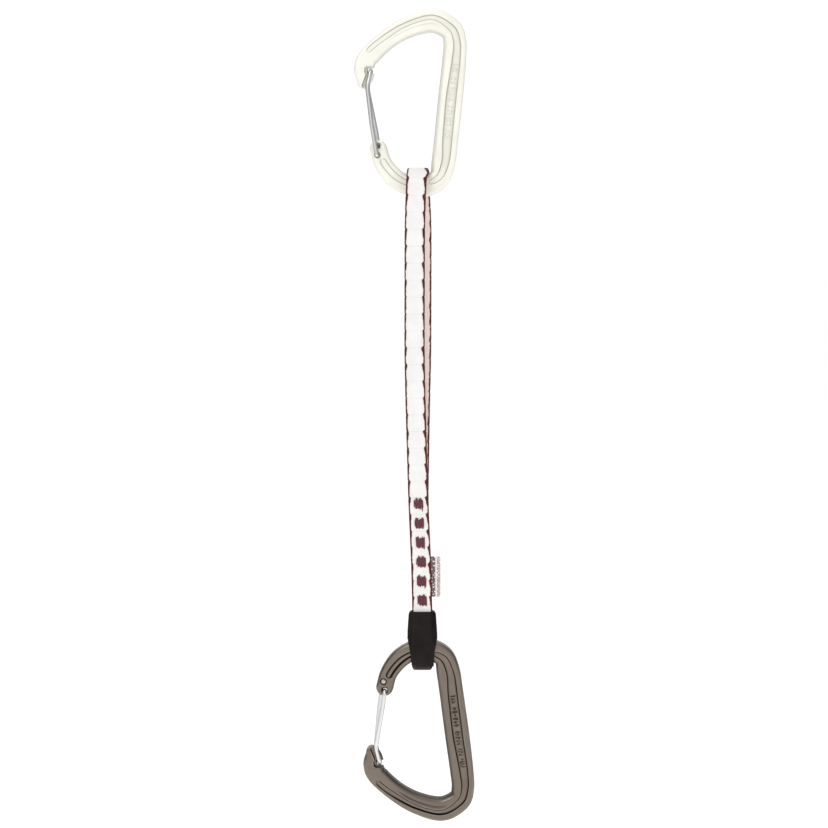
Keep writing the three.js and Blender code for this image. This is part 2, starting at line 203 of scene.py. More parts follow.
def blurred(values, spread):
    """Values with their corners rounded over a spread counted in samples."""
    reach = int(3 * spread)
    weights = np.exp(-0.5 * (np.arange(-reach, reach + 1) / spread) ** 2)
    padded = np.pad(values, reach, mode="edge")
    return np.convolve(padded, weights / weights.sum(), mode="valid")


def tube_faces(rings, sides, loop=False, first=0):
    """Quads between rings of points from the first one on. A loop joins the last ring to the first."""
    ring = np.arange(rings if loop else rings - 1)[:, None] * sides
    side = np.arange(sides)[None, :]
    following = (side + 1) % sides
    above = (ring + sides) % (rings * sides)
    quads = np.stack([ring + side, ring + following, above + following, above + side], axis=-1)
    faces = (quads.reshape(-1, 4) + first).tolist()
    if not loop:
        last = first + (rings - 1) * sides
        faces += [list(range(first, first + sides))[::-1], list(range(last, last + sides))]
    return faces


def add_object(name, data):
    """An object in the scene."""
    made = bpy.data.objects.new(name, data)
    bpy.context.collection.objects.link(made)
    return made


def make_mesh(name, points, faces, place=IN_PLACE, attributes=None):
    """A smooth-shaded object from points in millimetres, with its faces pointing out."""
    mesh = bpy.data.meshes.new(name)
    mesh.from_pydata(np.asarray(points, float).tolist(), [], faces)
    for key, values in (attributes or {}).items():
        values = np.asarray(values, np.float32)
        kind, field = ("FLOAT_VECTOR", "vector") if values.ndim == 2 else ("FLOAT", "value")
        mesh.attributes.new(key, kind, "POINT").data.foreach_set(field, values.ravel())
    mesh.transform(Matrix.Scale(MM, 4) @ place)
    work = bmesh.new()
    work.from_mesh(mesh)
    bmesh.ops.recalc_face_normals(work, faces=work.faces)
    work.to_mesh(mesh)
    work.free()
    mesh.shade_smooth()
    return add_object(name, mesh)


def add_piece(piece, body, material, nodes=()):
    """Gives a piece its material and body, and hides the CAD nodes that it stands for."""
    piece.data.materials.clear()
    piece.data.materials.append(material)
    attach(piece, body)
    if nodes:
        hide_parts(*nodes)


def apply_modifiers(piece):
    """Leaves the piece with the mesh that its modifiers make."""
    graph = bpy.context.evaluated_depsgraph_get()
    made = bpy.data.meshes.new_from_object(piece.evaluated_get(graph))
    piece.modifiers.clear()
    piece.data = made


def cut_away(piece, cutter):
    """Cuts one closed object out of another and removes the cutter."""
    modifier = piece.modifiers.new("cut", "BOOLEAN")
    modifier.operation = "DIFFERENCE"
    modifier.solver = "EXACT"
    modifier.object = cutter
    apply_modifiers(piece)
    bpy.data.objects.remove(cutter)


# ---- Materials ----
def set_input(node, key, value):
    """Links a socket to one of a node's inputs, or sets the input to a value."""
    if isinstance(value, bpy.types.NodeSocket):
        node.id_data.links.new(value, node.inputs[key])
    else:
        node.inputs[key].default_value = value


def add_node(tree, kind, inputs=None, **settings):
    """One shader node. An input is a value, or a socket that is linked to it."""
    made = tree.nodes.new("ShaderNode" + kind)
    for key, value in settings.items():
        setattr(made, key, value)
    for key, value in (inputs or {}).items():
        set_input(made, key, value)
    return made


def math_node(operation, *values):
    """The result of an arithmetic node, in the tree of the first socket among its values."""
    tree = next(value.id_data for value in values if isinstance(value, bpy.types.NodeSocket))
    return add_node(tree, "Math", dict(enumerate(values)), operation=operation).outputs[0]


def times(first, second, plus=0.0):
    """The product of two values, with a third added to it."""
    return math_node("MULTIPLY_ADD", first, second, plus)


def inverse(value):
    """1 less the value."""
    return math_node("SUBTRACT", 1.0, value)


def mix_color(factor, first, second):
    """A blend of two colours, each a socket or an RGB triple."""
    colors = [c if isinstance(c, bpy.types.NodeSocket) else (*c, 1.0) for c in (first, second)]
    inputs = {0: factor, 6: colors[0], 7: colors[1]}
    return add_node(factor.id_data, "Mix", inputs, data_type="RGBA").outputs[2]


def ramp(value, low, high):
    """0 where the value is below low, 1 above high, smooth between."""
    inputs = {"Value": value, "From Min": low, "From Max": high}
    return add_node(value.id_data, "MapRange", inputs, interpolation_type="SMOOTHSTEP").outputs[0]


def parts(vector):
    """The x, y and z of a vector."""
    return add_node(vector.id_data, "SeparateXYZ", {0: vector}).outputs


def tinted(value, low, high, first, second):
    """The first colour where the value is below low, the second above high."""
    return mix_color(ramp(value, low, high), first, second)


def attribute(tree, name, output="Fac"):
    """One of the marks that a mesh carries at its points."""
    return add_node(tree, "Attribute", attribute_name=name).outputs[output]


def noise(tree, scale, detail=3.0, vector=None):
    """A noise value at a scale counted in features a metre."""
    place = vector or add_node(tree, "TexCoord").outputs["Object"]
    inputs = {"Vector": place, "Scale": scale, "Detail": detail}
    return add_node(tree, "TexNoise", inputs).outputs[0]


def bumped(height, distance, strength):
    """A normal from a height, with its distance in metres."""
    inputs = {"Height": height, "Distance": distance, "Strength": strength}
    return add_node(height.id_data, "Bump", inputs).outputs[0]


def new_material(name):
    """A material with a Principled shader, its node tree and that shader."""
    material = bpy.data.materials.new(name)
    material.use_nodes = True
    tree = material.node_tree
    return material, tree, tree.nodes["Principled BSDF"]


def feed(shader, **values):
    """Sets or links the shader's sockets. Underscores stand for the spaces in their names."""
    for key, value in values.items():
        set_input(shader, key.replace("_", " "), value)


def finished(material, shader, height, distance, strength, **values):
    """The material, with its shader's sockets fed and a bump from a height."""
    feed(shader, Normal=bumped(height, distance, strength), **values)
    return material


def anodised_metal(name, color, painted_shade_color, edge_color, roughness, metallic):
    """Tumbled, anodised aluminium, with painted shade in its channels, bores, crease and along its
    sides, and a painted highlight along its fillets and channel lips.
    """
    material, tree, shader = new_material(name)
    cloud = noise(tree, 90.0, 4.0)
    grain = noise(tree, 5200.0, 2.0)
    painted_shade = attribute(tree, "painted_shade")
    tint = tinted(cloud, 0.3, 0.7, color, [0.93 * c for c in color])
    speck = times(ramp(grain, 0.55, 0.75), 0.08)
    tint = mix_color(speck, tint, edge_color)
    # Painted highlight: the edge mark lightens the fillets and the channel lips towards the edge
    # colour.
    painted_light = times(attribute(tree, "edge"), ramp(cloud, 0.25, 0.75))
    tint = mix_color(painted_light, tint, edge_color)
    # Painted shade: this mark darkens the channels, bores, crease and sides towards the painted shade
    # colour and roughens them.
    tint = mix_color(painted_shade, tint, painted_shade_color)
    rough = times(cloud, 0.12, roughness - 0.06)
    rough = times(painted_shade, 0.25, rough)
    return finished(
        material, shader, grain, 0.00002, 0.35, Base_Color=tint, Metallic=metallic, Roughness=rough
    )


def steel_wire(name, bright, dim):
    """Drawn stainless wire, bright on its front and back, with painted shade on its sides and bends
    wherever its surface doesn't face front or back.
    """
    material, tree, shader = new_material(name)
    streak = noise(tree, 1.0, vector=attribute(tree, "drawn", "Vector"))
    facing = parts(add_node(tree, "TexCoord").outputs["Normal"])[1]
    painted_front_light = ramp(math_node("ABSOLUTE", facing), 0.3, 0.65)
    tint = tinted(streak, 0.35, 0.7, bright, dim)
    # Painted shade: the wire is darkened where its surface faces sideways, up or down.
    tint = mix_color(painted_front_light, (0.13, 0.125, 0.12), tint)
    rough = times(streak, 0.04, 0.30)
    return finished(
        material, shader, streak, 0.000005, 0.05, Base_Color=tint, Metallic=1.0, Roughness=rough
    )


# ---- Carabiner frame geometry ----
def ends_window(at, spans, half_widths):
    """How much of its width a channel has at each arc length, with a round end on every span."""
    window = np.zeros_like(at)
    for start, end in spans:
        inside = (at > start) & (at < end)
        from_end = np.minimum(at - start, end - at) / half_widths
        round_end = np.sqrt(np.clip(1 - (1 - np.clip(from_end, 0, 1)) ** 2, 0, 1))
        window = np.where(inside, np.maximum(window, round_end), window)
    return window


def frame_stations():
    """Station numbers of fine samples along the centre line, and the arc length at each."""
    at = np.linspace(0, len(FRAME_STATIONS) - 1, 60 * (len(FRAME_STATIONS) - 1) + 1)
    points, _ = through_points(FRAME_STATIONS[:, :2], at)
    steps = np.linalg.norm(np.diff(points, axis=0), axis=1)
    return at, np.concatenate([[0], np.cumsum(steps)])


def ring_places(length):
    """Arc lengths of the sections: even steps, close pairs at the nose cuts and both round ends."""
    even = np.linspace(0, length, round(length / RING_STEP) + 1)
    steps = [side * STEP_WIDTH * k for side in (-1, 1) for k in (0.5, 1.5)]
    close = [length - cut + step for cut in (POCKET_TOP, *NOTCH_SPAN) for step in steps]
    turns = np.linspace(0, CAP_TURN, CAP_RINGS)[1:]
    start_cap = -FRAME_STATIONS[0, 2] / 2 * np.sin(turns)
    end_cap = length + FRAME_STATIONS[-1, 2] / 2 * np.sin(turns)
    return np.sort(np.concatenate([start_cap, even, close, end_cap]))


def ring_centres(at, past_end, to_nose):
    """Centres and outward normals of the rings, and how much longer a turned section is."""
    points, slopes = through_points(FRAME_STATIONS[:, :2], at)
    tangent = unit(slopes)
    points = points + tangent * past_end[:, None]
    square = np.stack([tangent[:, 1], -tangent[:, 0]], axis=1)
    level = smooth_step((LEVEL_FROM - to_nose) / (LEVEL_FROM - LEVEL_TO))[:, None]
    outward = unit(square + level * (np.array([-1.0, 0.0]) - square))
    return points, outward, 1 / np.sum(outward * square, axis=1)


def channel_shape(place, sizes, station, arc):
    """Middle, half width and depth of the channel at each ring, with round ends."""
    arc_of = np.interp(CHANNEL[:, 0], station, arc)
    even = np.arange(0, arc[-1], CHANNEL_STEP)
    rows = [blurred(np.interp(even, arc_of, CHANNEL[:, k]), CHANNEL_BLUR) for k in (1, 2, 3)]
    middle, half, least = (np.interp(place, even, row) for row in rows)
    spans = [np.interp(span, station, arc) for span in CHANNEL_SPANS]
    window = ends_window(place, spans, half)
    sink = np.maximum((1 - FLOOR_HEIGHT) * sizes[:, 2] * sizes[:, 1] / 2, least)
    return middle, half * window, sink * smooth_step(window * 4)


def past_cut(distance):
    """0 before one of the nose's cuts and 1 past it, over the width of one step."""
    return smooth_step(distance / STEP_WIDTH + 0.5)


def nose_shape(to_nose, points, outward, depth):
    """Which rings are in the pocket, where its hood's wall is, and how far in each ring reaches."""
    in_notch = past_cut(to_nose - NOTCH_SPAN[0]) * past_cut(NOTCH_SPAN[1] - to_nose)
    hood = (table_value(HOOD_WALL, points[:, 1]) - points[:, 0]) / outward[:, 0]
    notch = (points[:, 0] - NOTCH_FLOOR_U) / outward[:, 0]
    prong = PRONG_WIDTH * past_cut(NOTCH_SPAN[0] - to_nose)
    prong = prong * smooth_step((points[:, 1] - PRONG_FROM_V) / PRONG_RISE)
    inner = depth * (1 + prong) + in_notch * (notch - depth)
    return past_cut(POCKET_TOP - to_nose), hood, inner


def frame_sections():
    """Every ring's centre and outward normal, and the offsets and heights that shape its section."""
    station, arc = frame_stations()
    place = ring_places(arc[-1])
    inside = np.clip(place, 0, arc[-1])
    past_end, to_nose = place - inside, arc[-1] - place
    at = np.interp(inside, arc, station)
    sizes, _ = through_points(FRAME_STATIONS[:, 2:], at)
    points, outward, longer = ring_centres(at, past_end, to_nose)

    full = sizes[:, 0] / 2 * longer
    depth = np.sqrt(np.clip(full**2 - past_end**2, 1e-4, None))
    round_over = np.clip(np.abs(past_end) - (full - OUTER_FILLET), 0, OUTER_FILLET)
    top = sizes[:, 1] / 2 - OUTER_FILLET + np.sqrt(OUTER_FILLET**2 - round_over**2)
    middle, half, sink = channel_shape(place, sizes, station, arc)
    in_pocket, hood, inner = nose_shape(to_nose, points, outward, depth)
    start, end = np.interp(CREASE_SPAN, station, arc)
    crease = smooth_step((place - start) / CREASE_FADE) * smooth_step((end - place) / CREASE_FADE)
    return SimpleNamespace(
        points=points,
        outward=outward,
        outer=depth,
        inner=inner,
        top=top,
        floor=top - sink + in_pocket * (NOSE_WEB - top + sink),
        inner_top=top + in_pocket * (np.minimum(NOSE_WEB, top) - top),
        wall_out=np.where(in_pocket > 0, hood, middle + half),
        wall_in=np.where(in_pocket > 0, hood - POCKET_WALL, middle - half),
        # How strong the painted shade and highlight on the channel's walls are.
        sunk=np.maximum(smooth_step(sink / WALL_SHADE_DEPTH), in_pocket),
        crease=crease,
        pocket=in_pocket,
        outer_shade=table_value(CORNER_SHADE, at),
        inner_shade=table_value(CORNER_SHADE, at, 2),
    )


def outer_rows(s, high, fillet):
    """The outer side and its fillet."""
    rows = [(s.outer, 0, OUTER_RIM_SHADE, 0), (s.outer, 0.6 * (s.top - fillet), OUTER_RIM_SHADE, 0)]
    # Painted shade on the outer side, fading over the fillet, and a painted highlight across the
    # fillet's middle.
    for turn in np.linspace(0, math.pi / 2, FILLET_ROWS):
        offset = high + fillet * math.cos(turn)
        height = s.top - fillet * (1 - math.sin(turn))
        rows.append((offset, height, OUTER_RIM_SHADE * math.cos(turn) ** 2, 0.8 * math.sin(2 * turn) ** 2))
    return rows


def channel_rows(s, wall_out, wall_in, wall, shade):
    """The channel's outer wall, floor and inner wall, with painted shade on the walls and in the
    floor's corners and a painted highlight on the lips.
    """
    rows = []
    painted_light, open_painted_light = s.sunk, s.sunk * (1 - s.pocket)
    for part, drop, dark in WALL_ROWS:
        height = s.top - drop * (s.top - s.floor)
        rows.append((wall_out + part * wall, height, dark * painted_light, painted_light * (drop == 0)))
    for part, least, in_corner in FLOOR_ROWS:
        offset = (wall_out - wall) + part * (wall_in - wall_out + 2 * wall)
        corner = s.outer_shade if part < 0.5 else s.inner_shade
        dark = np.maximum(least, shade * corner * in_corner)
        rows.append((offset, s.floor, dark * open_painted_light, 0))
    for part, drop, dark in reversed(WALL_ROWS):
        height = s.floor + (1 - drop) * (s.inner_top - s.floor)
        rows.append((wall_in - part * wall, height, dark * open_painted_light, open_painted_light * (drop == 0)))
    return rows


def inner_rows(s, low, land_start, fillet):
    """The inner land with its crease, the inner fillet and the inner side."""
    rows = []
    for part, crease in CREASE_ROWS:
        offset = land_start + part * (low - land_start)
        crease = crease * s.crease
        # The crease gets painted shade in step with its depth.
        rows.append((offset, s.inner_top - CREASE_DEPTH * crease, 0.5 * crease, 0))
    # Painted shade on the inner side, growing over the fillet, and a painted highlight across the
    # fillet's middle.
    for turn in np.linspace(0, math.pi / 2, FILLET_ROWS + 2):
        offset = low - fillet * math.sin(turn)
        height = s.inner_top - fillet * (1 - math.cos(turn))
        rows.append((offset, height, INNER_RIM_SHADE * math.sin(turn) ** 2, 0.4 * math.sin(2 * turn) ** 2))
    return rows + [(-s.inner, 0, INNER_RIM_SHADE, 0)]


def half_section(s, shade):
    """Rows of offset, height, painted shade and painted highlight marks over one face, from the outside
    in.
    """
    outer, inner = s.outer, s.inner
    outer_fillet = np.minimum(OUTER_FILLET, 0.45 * outer)
    inner_fillet = np.minimum(np.minimum(INNER_FILLET, 0.45 * inner), 0.8 * s.inner_top)
    inner_fillet = np.maximum(inner_fillet, LEAST_FILLET)
    low, high = inner_fillet - inner, outer - outer_fillet
    wall = np.minimum(WALL_HALF_WIDTH, 0.08 * (high - low))
    wall_out = np.clip(s.wall_out, low + 3 * wall, high - wall)
    wall_in = np.clip(s.wall_in, low + wall, wall_out - 2 * wall)
    rows = outer_rows(s, high, outer_fillet)
    rows += [(high + part * (wall_out + wall - high), s.top, 0, 0) for part in LAND_PARTS]
    rows += channel_rows(s, wall_out, wall_in, wall, shade)
    rows += inner_rows(s, low, wall_in - wall, inner_fillet)
    return np.array([[np.broadcast_to(value, outer.shape) for value in row] for row in rows])


def hinge_cutter():
    """The two wire holes through the boss, each with its edge broken on both faces."""
    profile = HOLE_PROFILE + [(radius, -y) for radius, y in reversed(HOLE_PROFILE)]
    points, faces = [], []
    for u, v in WIRE_HOLES:
        faces += tube_faces(len(profile), HOLE_SIDES, first=len(points))
        for radius, y in profile:
            for k in range(HOLE_SIDES):
                turn = 2 * math.pi * k / HOLE_SIDES
                points.append((u + radius * math.cos(turn), y, v + radius * math.sin(turn)))
    return make_mesh("hinge_cutter", points, faces)


def darken_holes(piece):
    """Paints shade into the bores by setting their painted shade mark to full."""
    marks = piece.data.attributes["painted_shade"].data
    for corner in piece.data.vertices:
        u, y, v = corner.co / MM
        for hole_u, hole_v in WIRE_HOLES:
            if math.hypot(u - hole_u, v - hole_v) < HOLE_EDGE + 0.05:
                marks[corner.index].value = 1.0


def build_frame(name, place, shade):
    """One forging, lofted along its centre line with its channel, crease, hood, web and notch."""
    sections = frame_sections()
    upper = half_section(sections, shade)
    lower = upper[-2:0:-1].copy()
    lower[:, 1] *= -1
    rows = np.concatenate([upper, lower])
    offset, height, painted_shade, edge = (rows[:, k].T for k in range(4))
    count, sides = offset.shape
    u = sections.points[:, :1] + sections.outward[:, :1] * offset
    v = sections.points[:, 1:] + sections.outward[:, 1:] * offset
    points = np.stack([u, height, v], axis=-1).reshape(-1, 3)
    marks = {"painted_shade": painted_shade.ravel(), "edge": edge.ravel()}
    piece = make_mesh(name, points, tube_faces(count, sides), attributes=marks)
    cut_away(piece, hinge_cutter())
    darken_holes(piece)
    piece.data.transform(Matrix.Scale(MM, 4) @ place @ Matrix.Scale(1 / MM, 4))
    piece.data.shade_smooth()
    piece.data.set_sharp_from_angle(angle=math.radians(38))
    return piece


# ---- Wire gate ----
WIRE_RADIUS = 1.05
WIRE_HEAD_RADIUS = 1.28
WIRE_SIDES = 20
WIRE_BEND = 2.0
WIRE_BEND_STEPS = 8
WIRE_STEP = 0.35
# Shares of the radius over which the wire's ends are rounded.
WIRE_END_STEPS = (0.12, 0.45, 0.8)
# The spread end in its own hole, up to its middle: place across the frame and share of its radius.
WIRE_HEAD_PROFILE = [(-2.35, 0.7), (-2.25, 0.93), (-1.95, 1)]
# Corners of the bent wire, from the stub in the pivot hole up the rear leg, over the crossbar and
# down the front leg to its end.
WIRE_CORNERS = np.array([
    [PIVOT[0], 0.4, PIVOT[2]],
    [PIVOT[0], 3.95, PIVOT[2]],
    [-20.2, 3.8, 28],
    [-23.95, 3.2, 50],
    [-21.9, 2.9, 58],
    [-21.9, -2.9, 58],
    [-23.95, -3.2, 50],
    [-22.3, -3.8, 31],
    [-20.1, -3.95, 15.4],
])


def wire_path():
    """Points along the bent wire, with a smooth curve at each corner."""
    corners = [Vector(p) for p in WIRE_CORNERS]
    path = [corners[0]]
    for before, corner, after in zip(corners, corners[1:], corners[2:]):
        start = corner + (before - corner).normalized() * WIRE_BEND
        end = corner + (after - corner).normalized() * WIRE_BEND
        straight = max(2, int((start - path[-1]).length / WIRE_STEP / 2))
        path += [path[-1].lerp(start, k / straight) for k in range(1, straight)]
        for k in range(WIRE_BEND_STEPS + 1):
            w = k / WIRE_BEND_STEPS
            path.append(start.lerp(corner, w).lerp(corner.lerp(end, w), w))
    last = corners[-1]
    count = int((last - path[-1]).length / WIRE_STEP)
    path += [path[-1].lerp(last, k / count) for k in range(1, count + 1)]
    return path


def swept_tube(path, radii, sides):
    """Rings of a round tube along a path, and each point's turn and distance along it."""
    points, marks = [], []
    side = (path[1] - path[0]).orthogonal().normalized()
    travelled = 0
    for i, (centre, radius) in enumerate(zip(path, radii)):
        along = (path[min(i + 1, len(path) - 1)] - path[max(i - 1, 0)]).normalized()
        side = (side - along * side.dot(along)).normalized()
        across = along.cross(side)
        travelled += (centre - path[i - 1]).length if i else 0
        for k in range(sides):
            turn = 2 * math.pi * k / sides
            points.append(centre + radius * (side * math.cos(turn) + across * math.sin(turn)))
            marks.append((math.cos(turn) * 3, math.sin(turn) * 3, travelled * 0.02))
    return points, marks


def wire_piece(name, path, radii, place):
    """Round wire along a path."""
    points, marks = swept_tube(path, radii, WIRE_SIDES)
    return make_mesh(name, points, tube_faces(len(path), WIRE_SIDES), place, {"drawn": marks})


def build_wire_gate(name, place):
    """The bent wire of a gate, from its stub in the pivot hole to the end of its front leg."""
    path = wire_path()
    ends = [math.sqrt(1 - (1 - k) ** 2) for k in WIRE_END_STEPS]
    radii = [WIRE_RADIUS * k for k in ends + [1] * (len(path) - 2 * len(ends)) + ends[::-1]]
    return wire_piece(name, path, radii, place)


def build_wire_end(name, place):
    """The end of the front leg that sits in its own hole in the frame, spread to fill it."""
    u, v = FRONT_LEG_HOLE
    profile = WIRE_HEAD_PROFILE + [(-y, share) for y, share in reversed(WIRE_HEAD_PROFILE)]
    path = [Vector((u, y, v)) for y, _ in profile]
    return wire_piece(name, path, [WIRE_HEAD_RADIUS * share for _, share in profile], place)


# ---- Sling ----
TAPE_HALF_WIDTH = 5.0
TAPE_HALF_THICKNESS = 0.8
LOOP_RADIUS = 9.7
EYE_RADIUS = 7.0
EYE_Z = LOWER_BAR[2] - 2.2
SEWN_HALF_THICKNESS = 2.25
SEWN_TOP = -231.3
SEWN_BOTTOM = -290.7
# Half the side-on width of the folded tape, outside, by height.
TAPE_HALF_WIDTHS = np.array([
    [EYE_Z, EYE_RADIUS],
    [LOWER_BAR[2] + 3, EYE_RADIUS],
    [SEWN_BOTTOM, SEWN_HALF_THICKNESS],
    [SEWN_TOP, SEWN_HALF_THICKNESS],
    [UPPER_BAR[2], LOOP_RADIUS],
])
# Middle line of the tape as seen from the front: z and x.
TAPE_MIDDLE = np.array([
    [-320, -3.8], [-290, -4.8], [-265, -5.4], [-234, -6.8], [-184, -7.1], [-90, -6.9], [-66, -7.3],
])
# How far the rear strand stands to the right of that line, and the front strand to the left.
STRAND_SPREAD = np.array([
    [-320, 0], [-234, 0], [-159, 1.7], [-95, 1.7], [-76, 0.9], [-66.6, 0],
])
TAPE_STEP = 0.5
TAPE_COLUMNS = 35
TAPE_BLUR = 12
BLOCK_PITCH = 8.4
PINCH_REACH = 0.5
RIB_PITCH = 0.62
RIB_HEIGHT = 0.035
PICK_PITCH = 0.55
SELVEDGE_WIDTH = 0.70
# The selvedge's teeth fall away over the first share of a block and rise again from the second.
TOOTH_FALL, TOOTH_RISE = 0.62, 0.88
TOOTH_RIGHT, TOOTH_LEFT = 0.85, 0.45
INSIDE_TOOTH = 0.35
UNEVEN_STEP = 3
PLY_HALF_THICKNESS = 0.58
PLY_HALF_WIDTH = 4.85
CURL_SHIFT = [1.1, -0.6, 0.4]

# ---- Bar tacks ----
TACK_HEIGHTS = [-234.5 - 9.78 * i for i in range(6)]
TACK_STRANDS = 15
# How many fewer stitches the short lower layer has, and how many of the upper one hang loose.
LOWER_LAYER_LESS = 3
LOOSE_STRANDS = 3
TACK_WIDTH = 4.8
TACK_HEIGHT = 5.6
TACK_DENT = 0.3
THREAD_RADIUS = 0.2
THREAD_SIDES = 8
# A stitch up to its middle: share of its length and how far it stands out of the tape.
STITCH_PROFILE = [(0.0, -0.9), (0.02, -0.35), (0.06, -0.05), (0.14, 0.06), (0.5, 0.1)]
# How far a stitch's streaks are moved on, for each point before it.
STREAK_SHIFT = 0.37


def resampled(points, step):
    """A closed loop of points at even distances."""
    closed = np.vstack([points, points[:1]])
    arc = np.concatenate([[0], np.cumsum(np.linalg.norm(np.diff(closed, axis=0), axis=1))])
    even = np.linspace(0, arc[-1], round(arc[-1] / step), endpoint=False)
    return np.stack([np.interp(even, arc, closed[:, k]) for k in range(closed.shape[1])], axis=1), even


def tape_loop():
    """The tape's middle line round the folded loop, from the bottom up the rear and down the front."""
    heights = np.arange(EYE_Z, UPPER_BAR[2], TAPE_STEP)
    half = blurred(table_value(TAPE_HALF_WIDTHS, heights), 5) - TAPE_HALF_THICKNESS
    quarter = np.linspace(0, math.pi / 2, 24)[:-1]
    eye, loop = EYE_RADIUS - TAPE_HALF_THICKNESS, LOOP_RADIUS - TAPE_HALF_THICKNESS
    rear = np.concatenate([
        np.stack([eye * np.sin(quarter), EYE_Z - eye * np.cos(quarter)], axis=1),
        np.stack([half, heights], axis=1),
        np.stack([loop * np.cos(quarter), UPPER_BAR[2] + loop * np.sin(quarter)], axis=1),
    ])
    front = rear[1:][::-1] * [-1, 1]
    crown = [[0, UPPER_BAR[2] + loop]]
    line, along = resampled(np.concatenate([rear, crown, front]), TAPE_STEP)
    x = table_value(TAPE_MIDDLE, line[:, 1])
    x = x + np.sign(line[:, 0]) * table_value(STRAND_SPREAD, line[:, 1])
    wrap = 5 * TAPE_BLUR
    x = blurred(np.concatenate([x[-wrap:], x, x[:wrap]]), TAPE_BLUR)[wrap:-wrap]
    return np.column_stack([x, line]), along


def tape_section(half_width, half_thickness):
    """Points round a flat rounded section: across, through and which face, 1 outside, -1 inside."""
    across = np.sin(np.linspace(-1, 1, TAPE_COLUMNS) * math.pi / 2)
    through = np.sqrt(np.clip(1 - np.abs(across) ** 7, 0, 1))
    outside = np.column_stack([across, through, np.sign(through)])
    inside = outside[-2:0:-1] * [1, -1, -1]
    return np.concatenate([outside, inside]) * [half_width, half_thickness, 1]


def inner_edges(along, phase, across, section, half_width):
    """How far from the tape's middle the white weave meets the dark selvedge."""
    knots = np.arange(0, along[-1] + UNEVEN_STEP, UNEVEN_STEP)
    uneven = np.interp(along, knots, rng.uniform(-1, 1, len(knots)))[:, None]
    fall = np.clip(1 - phase / TOOTH_FALL, 0, 1) ** 1.4
    tooth = (fall + smooth_step((phase - TOOTH_RISE) / (1 - TOOTH_RISE)))[:, None]
    tooth = tooth * (1 + 0.25 * uneven) * np.where(section[None, :, 2] < 0, INSIDE_TOOTH, 1)
    tooth = tooth * np.where(across > 0, TOOTH_RIGHT, TOOTH_LEFT)
    return half_width - SELVEDGE_WIDTH - 0.12 * uneven - tooth


def tape_rings(line, tangent, along, half_width, half_thickness):
    """Points of a woven tape along a line, with the marks that its material reads."""
    across_way = unit(np.array([1.0, 0, 0]) - tangent * tangent[:, :1])
    outward = np.cross(tangent, across_way)
    section = tape_section(half_width, half_thickness)
    phase = along / BLOCK_PITCH % 1
    to_block = (0.5 - np.abs(phase - 0.5)) * BLOCK_PITCH
    pinch = np.exp(-((to_block / PINCH_REACH) ** 2))[:, None]
    across = section[None, :, 0] * (1.014 - 0.03 * pinch)
    ribs = RIB_HEIGHT * np.cos(2 * math.pi * across / RIB_PITCH) * (np.abs(across) < 0.8 * half_width)
    through = section[None, :, 1] * (1 - 0.06 * pinch + ribs)
    points = line[:, None] + across_way[:, None] * across[..., None]
    points = points + outward[:, None] * through[..., None]
    marks = {
        "selvedge": np.abs(across) - inner_edges(along, phase, across, section, half_width),
        "block": np.broadcast_to(to_block[:, None], across.shape),
        "weave": np.stack([across, np.broadcast_to(along[:, None], across.shape), through], axis=-1),
    }
    return points, section, marks


def press_under_tacks(points, section):
    """Sinks the outside of the tape where the tacks pull it in."""
    x, y, z = np.moveaxis(points, -1, 0)
    near = (z < SEWN_TOP) & (z > SEWN_BOTTOM) & (section[None, :, 2] > 0)
    off_middle = np.abs(x - table_value(TAPE_MIDDLE, z))
    for height in TACK_HEIGHTS:
        reach = np.maximum(off_middle / (TACK_WIDTH / 2), np.abs(z - height) / (TACK_HEIGHT / 2))
        sink = TACK_DENT * (1 - smooth_step((reach - 0.85) / 0.35)) * near
        y -= np.sign(y) * sink


def curl_top_edge(points, section):
    """Turns the right edge up where the tape folds over the upper bar."""
    _, y, z = np.moveaxis(points, -1, 0)
    crown = UPPER_BAR[2] + LOOP_RADIUS
    amount = np.exp(-(((z - crown + 3.0) / 2.2) ** 2)) * (y < 0)
    amount = amount * smooth_step((section[None, :, 0] - 3.6) / 1.4)
    points += amount[..., None] * CURL_SHIFT


def build_webbing():
    """The tape loop, and the inner ply between its strands along the sewn part."""
    line, along = tape_loop()
    tangent = unit(np.roll(line, -1, axis=0) - np.roll(line, 1, axis=0))
    loop, section, loop_marks = tape_rings(line, tangent, along, TAPE_HALF_WIDTH, TAPE_HALF_THICKNESS)
    press_under_tacks(loop, section)
    curl_top_edge(loop, section)

    heights = np.arange(SEWN_BOTTOM + 0.6, SEWN_TOP - 0.4, TAPE_STEP)
    x = table_value(TAPE_MIDDLE, heights)
    ply_line = np.column_stack([x, 0 * x, heights])
    up = np.tile([0.0, 0.0, 1.0], (len(x), 1))
    ply_along = heights - SEWN_BOTTOM
    ply, _, ply_marks = tape_rings(ply_line, up, ply_along, PLY_HALF_WIDTH, PLY_HALF_THICKNESS)

    sides = len(section)
    faces = tube_faces(len(loop), sides, loop=True)
    faces += tube_faces(len(ply), sides, first=len(loop) * sides)
    points = np.concatenate([loop.reshape(-1, 3), ply.reshape(-1, 3)])
    marks = {}
    for key, values in loop_marks.items():
        width = values.shape[2:]
        marks[key] = np.concatenate([values.reshape(-1, *width), ply_marks[key].reshape(-1, *width)])
    return make_mesh("sling_tape", points, faces, attributes=marks)


